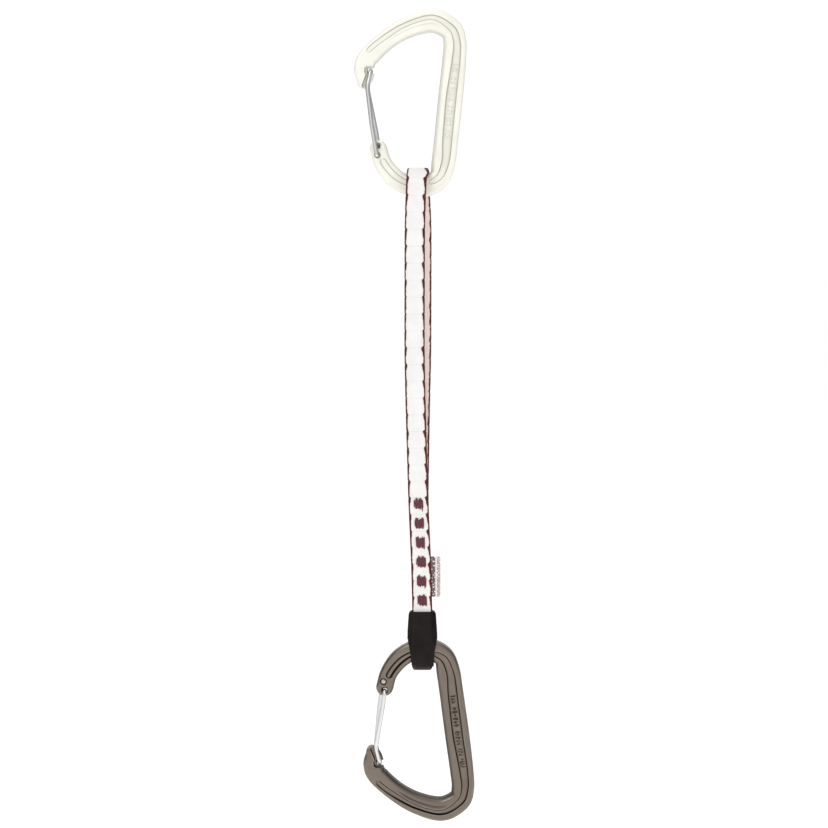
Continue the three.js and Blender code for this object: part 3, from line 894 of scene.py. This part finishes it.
def webbing_material():
    """White woven tape with dark red selvedges that meet it in scallops."""
    material, tree, shader = new_material("woven_tape")
    across, along, through = parts(attribute(tree, "weave", "Vector"))
    ribs = math_node("SINE", times(across, 4 * math.pi / RIB_PITCH))
    picks = math_node("SINE", times(along, 2 * math.pi / PICK_PITCH))
    twill = math_node("SINE", times(across, 7.5, times(along, 9.0)))
    fuzz = noise(tree, 2600.0, 4.0)
    cloud = noise(tree, 130.0)

    white = tinted(cloud, 0.35, 0.65, (1.0, 0.985, 0.965), (0.95, 0.935, 0.92))
    white = mix_color(times(ribs, 0.04, 0.04), white, (0.55, 0.50, 0.50))
    between_blocks = inverse(ramp(attribute(tree, "block"), 0.05, 0.5))
    white = mix_color(times(between_blocks, 0.10), white, (0.42, 0.40, 0.42))
    inside = inverse(ramp(through, -0.2, 0.2))
    white = mix_color(times(inside, 0.45), white, (1.0, 0.76, 0.68))
    margin = ramp(attribute(tree, "selvedge"), -0.8, -0.05)
    white = mix_color(times(margin, 0.5), white, (0.93, 0.70, 0.66))
    dark = tinted(twill, -0.6, 0.8, (0.030, 0.004, 0.006), (0.13, 0.013, 0.018))
    dark = tinted(fuzz, 0.5, 0.8, dark, (0.24, 0.05, 0.05))
    wobble = times(fuzz, 0.24, -0.12)
    wobble = math_node("ADD", wobble, times(noise(tree, 420.0, 2.0), 0.9, -0.45))
    edge = math_node("ADD", attribute(tree, "selvedge"), wobble)
    color = tinted(edge, -0.07, 0.07, white, dark)

    height = times(fuzz, 1.5, times(ribs, 0.6, picks))
    return finished(
        material, shader, height, 0.00006, 0.7,
        Base_Color=color, Roughness=0.86, Specular_IOR_Level=0.25, Sheen_Weight=0.2, Sheen_Roughness=0.5
    )


def tack_strand(x, drift, top, bottom, side, lift):
    """One stitch of a tack: out of the tape, down its face and back in."""
    face = SEWN_HALF_THICKNESS - TACK_DENT + 0.4 * THREAD_RADIUS + lift
    profile = STITCH_PROFILE + [(1 - at, out) for at, out in reversed(STITCH_PROFILE[:-1])]
    return [
        Vector((x + drift * at, side * (face + out), top + (bottom - top) * at)) for at, out in profile
    ]


def tack_strands(height, middle, side):
    """The paths of a tack's stitches on one face: a short dense layer under a ragged one."""
    paths = []
    waves, turn, lean = rng.uniform(1.6, 2.8), rng.uniform(-0.7, 0.7), rng.uniform(-0.5, 0.5)
    for layer, count in enumerate((TACK_STRANDS - LOWER_LAYER_LESS, TACK_STRANDS)):
        ragged = 1 + layer
        for k in range(count):
            across = (k + 0.5) / count * 2 - 1
            crest = (0.7 - 0.15 * layer) * math.cos(waves * math.pi * across + turn)
            top = height + TACK_HEIGHT / 2 - 0.75 - crest + lean * across
            top += rng.uniform(-0.3, 0.4) * ragged
            bottom = height - TACK_HEIGHT / 2 + 0.9 * across**2
            bottom += rng.uniform(-0.35, 0.35) * ragged
            if layer and k >= count - LOOSE_STRANDS:
                bottom -= rng.uniform(0.4, 1.9)
            x = middle + across * (TACK_WIDTH / 2 - 0.1) + rng.uniform(-0.07, 0.07)
            drift = rng.uniform(-0.2, 0.35)
            paths.append(tack_strand(x, drift, top, bottom, side, layer * THREAD_RADIUS))
    return paths


def build_tack(name, height):
    """A bar tack: dense upright stitches on both faces of the tape."""
    points, faces, marks = [], [], []
    middle = table_value(TAPE_MIDDLE, height)
    for path in tack_strands(height, middle, -1) + tack_strands(height, middle, 1):
        first = len(points)
        radii = [THREAD_RADIUS * f for f in [0.6] + [1] * (len(path) - 2) + [0.6]]
        rings, drawn = swept_tube(path, radii, THREAD_SIDES)
        points += rings
        marks += [(a, b, c + STREAK_SHIFT * first) for a, b, c in drawn]
        faces += tube_faces(len(path), THREAD_SIDES, first=first)
    return make_mesh(name, points, faces, attributes={"drawn": marks})


def thread_material():
    """Dense mauve sewing thread with a slight sheen."""
    material, tree, shader = new_material("tack_thread")
    strand = noise(tree, 2.0, 2.0, vector=attribute(tree, "drawn", "Vector"))
    fuzz = noise(tree, 3000.0)
    tint = tinted(strand, 0.3, 0.7, (0.085, 0.018, 0.028), (0.19, 0.048, 0.070))
    fluff = times(ramp(fuzz, 0.5, 0.75), 0.4)
    tint = mix_color(fluff, tint, (0.24, 0.085, 0.11))
    return finished(
        material, shader, fuzz, 0.00005, 0.6, Base_Color=tint, Roughness=0.7, Sheen_Weight=0.08
    )


# ---- Label ----
LABEL_TOP = -261.6
LABEL_BOTTOM = -282.0
LABEL_RIGHT = 4.3
LABEL_TAIL = 3.0
LABEL_HALF_GAP = 0.17
LABEL_SHEET = 0.09
LABEL_ROWS = 36
LABEL_WAVE = 0.22
LABEL_WAVE_RATE = 0.55
LABEL_SLANT = 0.018
LINE_PITCH = 0.68


def build_label():
    """A strip folded over on itself, with its two ends sewn between the plies."""
    edge = table_value(TAPE_MIDDLE, (LABEL_TOP + LABEL_BOTTOM) / 2) + TAPE_HALF_WIDTH
    left, fold = edge - LABEL_TAIL, LABEL_RIGHT - LABEL_HALF_GAP - LABEL_SHEET
    flat = np.linspace(left, fold, 16)
    turns = np.linspace(-math.pi / 2, math.pi / 2, 9)[1:-1]

    def face(distance):
        front = [(x, -distance) for x in flat]
        turn = [(fold + distance * math.cos(a), distance * math.sin(a)) for a in turns]
        return front + turn + [(x, distance) for x in flat[::-1]]

    section = face(LABEL_HALF_GAP + LABEL_SHEET) + face(LABEL_HALF_GAP - LABEL_SHEET)[::-1]
    points, marks = [], []
    for z in np.linspace(LABEL_TOP, LABEL_BOTTOM, LABEL_ROWS):
        for x, y in section:
            free = max(0.0, x - edge) / (LABEL_RIGHT - edge)
            wave = LABEL_WAVE * free * math.sin((z - LABEL_TOP) * LABEL_WAVE_RATE) * (1 - abs(y))
            slant = LABEL_SLANT * (x - edge) * (LABEL_TOP - z) / (LABEL_TOP - LABEL_BOTTOM)
            points.append((x, y + wave, z + slant))
            marks.append((x - edge, z - LABEL_TOP, y))
    faces = tube_faces(LABEL_ROWS, len(section))
    return make_mesh("label_tag", points, faces, attributes={"tag": marks})


def label_material():
    """A white woven tag covered in fine made-up lines of dashes."""
    material, tree, shader = new_material("label_cloth")
    across, along, _ = parts(attribute(tree, "tag", "Vector"))
    line = math_node("DIVIDE", across, LINE_PITCH)
    in_line = math_node("PINGPONG", line, 0.5)
    column = times(math_node("FLOOR", line), 7.3)
    place = add_node(tree, "CombineXYZ", {0: column, 1: along, 2: 0.0}).outputs[0]
    dashes = ramp(noise(tree, 1.15, 2.0, vector=place), 0.38, 0.47)
    ink = times(dashes, ramp(in_line, 0.02, 0.09))
    near = inverse(ramp(across, 1.7, 2.2))
    far = ramp(across, 2.7, 3.0)
    strength = times(far, 0.5, times(near, 0.85, 0.12))
    color = mix_color(times(ink, strength), (0.90, 0.85, 0.83), (0.070, 0.010, 0.018))
    return finished(
        material, shader, noise(tree, 2800.0), 0.00004, 0.5, Base_Color=color, Roughness=0.75
    )


# ---- Rubber keeper ----
KEEPER_WALL = 1.3
CLEARANCE = 0.3
KEEPER_MIDDLE = LOWER_BAR[0] - 0.4
KEEPER_SIDE_WALLS_BOTTOM = 6.0
KEEPER_VOXEL = 0.25
KEEPER_RINGS = 60
KEEPER_CORNER = 0.36
EYE_RINGS = 14
# Half the keeper's width from the front, by height over the bar's middle.
KEEPER_HALF_WIDTHS = np.array([
    [-11.5, 4], [-9.9, 4.7], [-8.2, 5.3], [-1.5, 6.5], [5, 7.6], [9, 7.5], [18, 6.9], [19.3, 5.9],
])


def tape_depth(z, offset):
    """Half the side-on width of the tape's outline at a height, grown by an offset."""
    below = EYE_Z - z
    if below > 0:
        return math.sqrt(max((EYE_RADIUS + offset) ** 2 - below**2, 0.01))
    return table_value(TAPE_HALF_WIDTHS, z) + offset


def stacked(name, heights, section):
    """A closed object from one outline a height."""
    rings = [[(x, y, z) for x, y in section(z)] for z in heights]
    points = [point for ring in rings for point in ring]
    return make_mesh(name, points, tube_faces(len(rings), len(rings[0])))


def rectangle(middle, half_x, half_y, cut_x=0.1, cut_y=0.1):
    """An outline with cut corners, anticlockwise."""
    corners = []
    for sx, sy in ((1, 1), (-1, 1), (-1, -1), (1, -1)):
        first = (middle + sx * half_x, sy * (half_y - cut_y))
        second = (middle + sx * (half_x - cut_x), sy * half_y)
        corners += [first, second] if sx * sy > 0 else [second, first]
    return corners


def build_keeper():
    """A sleeve round the tape with a fork below it that closes round the eye and the bar."""
    bar = LOWER_BAR[2]
    bottom, top = bar + KEEPER_HALF_WIDTHS[0, 0], bar + KEEPER_HALF_WIDTHS[-1, 0]
    low = EYE_Z - EYE_RADIUS - CLEARANCE - KEEPER_WALL + 0.05

    def outer(z):
        half_y = tape_depth(z, CLEARANCE + KEEPER_WALL)
        half_x = table_value(KEEPER_HALF_WIDTHS, z - bar)
        cut_y = min(KEEPER_WALL, 0.4 * half_y)
        return rectangle(KEEPER_MIDDLE, half_x, half_y, KEEPER_CORNER * half_x, cut_y)

    def cavity(z):
        middle = table_value(TAPE_MIDDLE, z)
        return rectangle(middle, TAPE_HALF_WIDTH + CLEARANCE, tape_depth(z, CLEARANCE))

    def window(z):
        return rectangle(KEEPER_MIDDLE, 20, tape_depth(z, CLEARANCE))

    floor = EYE_Z - EYE_RADIUS - CLEARANCE + 0.02
    arc = [EYE_Z - (EYE_Z - floor) * math.cos(t) for t in np.linspace(0, math.pi / 2, EYE_RINGS + 1)]
    keeper = stacked("keeper_sleeve", np.linspace(max(low, bottom), top, KEEPER_RINGS), outer)
    inside = arc + list(np.linspace(EYE_Z, top + 3, 40)[1:])
    cut_away(keeper, stacked("cavity", inside, cavity))
    upto = arc + list(np.linspace(EYE_Z, bar + KEEPER_SIDE_WALLS_BOTTOM, 12)[1:])
    cut_away(keeper, stacked("window", upto, window))
    remesh = keeper.modifiers.new("remesh", "REMESH")
    remesh.mode = "VOXEL"
    remesh.voxel_size = KEEPER_VOXEL * MM
    soften = keeper.modifiers.new("soften", "SMOOTH")
    soften.factor = 0.5
    soften.iterations = 5
    apply_modifiers(keeper)
    keeper.data.shade_smooth()
    return keeper


def rubber_material():
    """Near-black moulded rubber with a fine matte grain."""
    material, tree, shader = new_material("keeper_rubber")
    grain = noise(tree, 2300.0, 4.0)
    cloud = noise(tree, 160.0)
    tint = tinted(cloud, 0.35, 0.7, (0.007, 0.004, 0.004), (0.013, 0.008, 0.008))
    rough = times(cloud, 0.15, 0.42)
    return finished(
        material, shader, grain, 0.00004, 0.5, Base_Color=tint, Roughness=rough, Specular_IOR_Level=0.16
    )


# ---- Laser marks on the spines ----
MARK_SPAN = (8.1, 9.85)
MARK_GROUPS = (3, 6, 5, 3, 4)
MARK_HALF_ACROSS = 1.25
MARK_STROKE = 0.0075
MARK_STROKES = 3
MARK_STROKE_PITCH = 0.0185
MARK_RELIEF = 0.03
MARK_LEAST_LENGTH = 0.7


def build_marks(name, place):
    """Groups of made-up strokes on the floor of the spine channel, on both faces."""
    slots = sum(MARK_GROUPS) + len(MARK_GROUPS) - 1
    filled = [i for group in MARK_GROUPS for i in [1] * group + [0]][:-1]
    points, faces = [], []
    for slot, shown in enumerate(filled):
        if not shown:
            continue
        at = np.linspace(*MARK_SPAN, slots)[slot]
        for stroke in range(MARK_STROKES):
            low, high = sorted(rng.uniform(-1, 1, 2) * MARK_HALF_ACROSS)
            if high - low <= MARK_LEAST_LENGTH:
                low, high = -MARK_HALF_ACROSS, MARK_HALF_ACROSS
            add_stroke(points, faces, at + MARK_STROKE_PITCH * stroke, low, high)
    return make_mesh(name, points, faces, place)


def add_stroke(points, faces, at, low, high):
    """One thin raised bar across the channel floor on each face."""
    ends = np.array([at - MARK_STROKE, at + MARK_STROKE])
    centre, slope = through_points(FRAME_STATIONS[:, :2], ends)
    sizes, _ = through_points(FRAME_STATIONS[:, 2:], ends)
    along = unit(slope)
    outward = np.stack([along[:, 1], -along[:, 0]], axis=1)
    middle = table_value(CHANNEL, ends)
    for side in (-1, 1):
        faces += tube_faces(2, 4, first=len(points))
        for lift in (-MARK_RELIEF, MARK_RELIEF):
            for k, across in ((0, low), (0, high), (1, high), (1, low)):
                place = centre[k] + outward[k] * (middle[k] + across)
                y = side * (sizes[k, 1] / 2 * FLOOR_HEIGHT + lift)
                points.append((place[0], y, place[1]))


def mark_material(name, color):
    """A dull laser-etched finish that breaks up at its edges."""
    material, tree, shader = new_material(name)
    speck = noise(tree, 3500.0)
    tint = tinted(speck, 0.3, 0.7, color, [1.5 * c for c in color])
    feed(shader, Base_Color=tint, Roughness=0.7, Metallic=0.4)
    return material


# ---- Studio ----
CAMERA_LENS = 86.6
CAMERA_SENSOR = 36.0
CAMERA_DISTANCE = 1.0
CAMERA_ELEVATION = math.radians(3.5)
CAMERA_AIM = Vector((-0.0090, 0.0, -0.1896))
# How bright the surroundings are ahead and above, and at the two sides.
WORLD_FRONT, WORLD_SIDES = 0.74, 0.22
FLOOR_Z = -0.47
FLOOR_FRONT = -4.0
WALL_Y, WALL_TOP = 2.4, 5.0
BACKDROP_HALF_WIDTH = 5.0
BACKDROP_BEND = 0.9
BACKDROP_STEPS = 24
BACKDROP_GLOW = 0.25
PAPER_COLOR = (0.93, 0.93, 0.925, 1)
SURROUND_RADIUS = 9.0
LIGHT_AIM = (0, 0, -0.2)
# Softboxes: name, place, size, power in watts and whether they show in glossy surfaces.
SOFTBOXES = [
    ("key_light", (-0.9, -1.6, 1.1), (1.2, 1.2), 12, True),
    ("fill_light", (1.4, -1.3, 0.1), (1.0, 1.6), 6, False),
    ("top_light", (0.0, 0.2, 1.7), (1.6, 1.6), 8, True),
]


def add_camera():
    """The photograph's view: from straight ahead and a little above."""
    camera = add_object("camera", bpy.data.cameras.new("camera"))
    camera.data.lens = CAMERA_LENS
    camera.data.sensor_width = CAMERA_SENSOR
    camera.data.clip_start = 0.01
    back = Vector((0, -math.cos(CAMERA_ELEVATION), math.sin(CAMERA_ELEVATION)))
    camera.location = CAMERA_AIM + back * CAMERA_DISTANCE
    camera.rotation_euler = (-back).to_track_quat("-Z", "Y").to_euler()
    bpy.context.scene.camera = camera


def add_backdrop():
    """A pale floor that curves up into a wall far behind."""
    profile = [(FLOOR_FRONT, FLOOR_Z)]
    for turn in np.linspace(0, math.pi / 2, BACKDROP_STEPS + 1):
        y = WALL_Y - BACKDROP_BEND * (1 - math.sin(turn))
        profile.append((y, FLOOR_Z + BACKDROP_BEND * (1 - math.cos(turn))))
    profile.append((WALL_Y, WALL_TOP))
    edges = (-BACKDROP_HALF_WIDTH, BACKDROP_HALF_WIDTH)
    points = [(x / MM, y / MM, z / MM) for y, z in profile for x in edges]
    faces = [(2 * k, 2 * k + 1, 2 * k + 3, 2 * k + 2) for k in range(len(profile) - 1)]
    backdrop = make_mesh("backdrop", points, faces)
    material, _, shader = new_material("backdrop_paper")
    feed(shader, Base_Color=PAPER_COLOR, Roughness=0.9)
    feed(shader, Emission_Color=(1, 1, 1, 1), Emission_Strength=BACKDROP_GLOW)
    backdrop.data.materials.append(material)


def add_surround():
    """A pale room far behind the backdrop, which side views see past its ends. It casts no light."""
    mesh = bpy.data.meshes.new("surround")
    work = bmesh.new()
    bmesh.ops.create_icosphere(work, subdivisions=4, radius=SURROUND_RADIUS)
    work.to_mesh(mesh)
    work.free()
    surround = add_object("surround", mesh)
    for ray in ("diffuse", "glossy", "transmission", "shadow"):
        setattr(surround, f"visible_{ray}", False)
    material, _, shader = new_material("surround_paper")
    feed(shader, Base_Color=(0, 0, 0, 1), Roughness=1.0, Specular_IOR_Level=0.0)
    feed(shader, Emission_Color=PAPER_COLOR, Emission_Strength=1.0)
    mesh.materials.append(material)


def add_soft_light(name, place, size, power, in_gloss):
    """One large softbox that looks from its place at the quickdraw."""
    light = bpy.data.lights.new(name, "AREA")
    light.shape = "RECTANGLE"
    light.size, light.size_y = size
    light.energy = power
    lamp = add_object(name, light)
    lamp.location = place
    lamp.rotation_euler = (Vector(LIGHT_AIM) - Vector(place)).to_track_quat("-Z", "Y").to_euler()
    lamp.visible_glossy = in_gloss


def add_light():
    """The softboxes, and surroundings that are bright ahead and above and dimmer at the sides."""
    for softbox in SOFTBOXES:
        add_soft_light(*softbox)
    world = bpy.data.worlds.new("studio")
    bpy.context.scene.world = world
    world.use_nodes = True
    tree = world.node_tree
    way = parts(add_node(tree, "TexCoord").outputs["Generated"])
    sideways = math_node("ABSOLUTE", way[0])
    glow = tinted(sideways, 0.35, 0.8, (WORLD_FRONT,) * 3, (WORLD_SIDES,) * 3)
    tree.links.new(glow, tree.nodes["Background"].inputs[0])
    bpy.context.scene.view_settings.view_transform = "Standard"


# ---- Assembly ----
add_camera()
add_backdrop()
add_surround()
add_light()

silver = anodised_metal(
    "silver_anodised", (0.95, 0.94, 0.85), (0.56, 0.54, 0.47), (0.98, 0.98, 0.93), 0.36, 0.15
)
grey = anodised_metal(
    "grey_anodised", (0.215, 0.178, 0.148), (0.010, 0.008, 0.006), (0.36, 0.34, 0.30), 0.30, 1.0
)
steel = steel_wire("gate_steel", (0.84, 0.83, 0.82), (0.79, 0.785, 0.78))
wire_head = steel_wire("wire_head", (0.60, 0.52, 0.46), (0.50, 0.43, 0.38))
pale_marks = mark_material("pale_marks", (0.78, 0.77, 0.72))
dark_marks = mark_material("dark_marks", (0.03, 0.022, 0.018))
thread = thread_material()

# Which end, its place, material slot, metal and marks, and how much painted shade its channel's corners
# get.
CARABINERS = [
    ("upper", UPPER_PLACE, "silver_frame", silver, pale_marks, 0.1),
    ("lower", LOWER_PLACE, "grey_frame", grey, dark_marks, 1.0),
]
for end, place, slot, metal, etched, shade in CARABINERS:
    body = f"{end}_carabiner"
    add_piece(build_frame(f"{end}_forging", place, shade), body, metal, [f"{end}_frame"])
    add_piece(build_marks(f"{end}_marks", place), body, etched)
    add_piece(build_wire_end(f"{end}_wire_end", place), body, wire_head)
    gate = build_wire_gate(f"{end}_gate_wire", place)
    add_piece(gate, f"{end}_gate", steel, [f"{end}_wire_gate"])
add_piece(build_webbing(), "sling", webbing_material(), ["sling_webbing"])
for i, height in enumerate(TACK_HEIGHTS):
    tack = build_tack(f"tack_stitches_{i + 1}", height)
    add_piece(tack, "sling", thread, [f"bar_tack_{i + 1}"])
add_piece(build_label(), "sling", label_material(), ["sling_label"])
add_piece(build_keeper(), "sling", rubber_material(), ["rubber_keeper"])
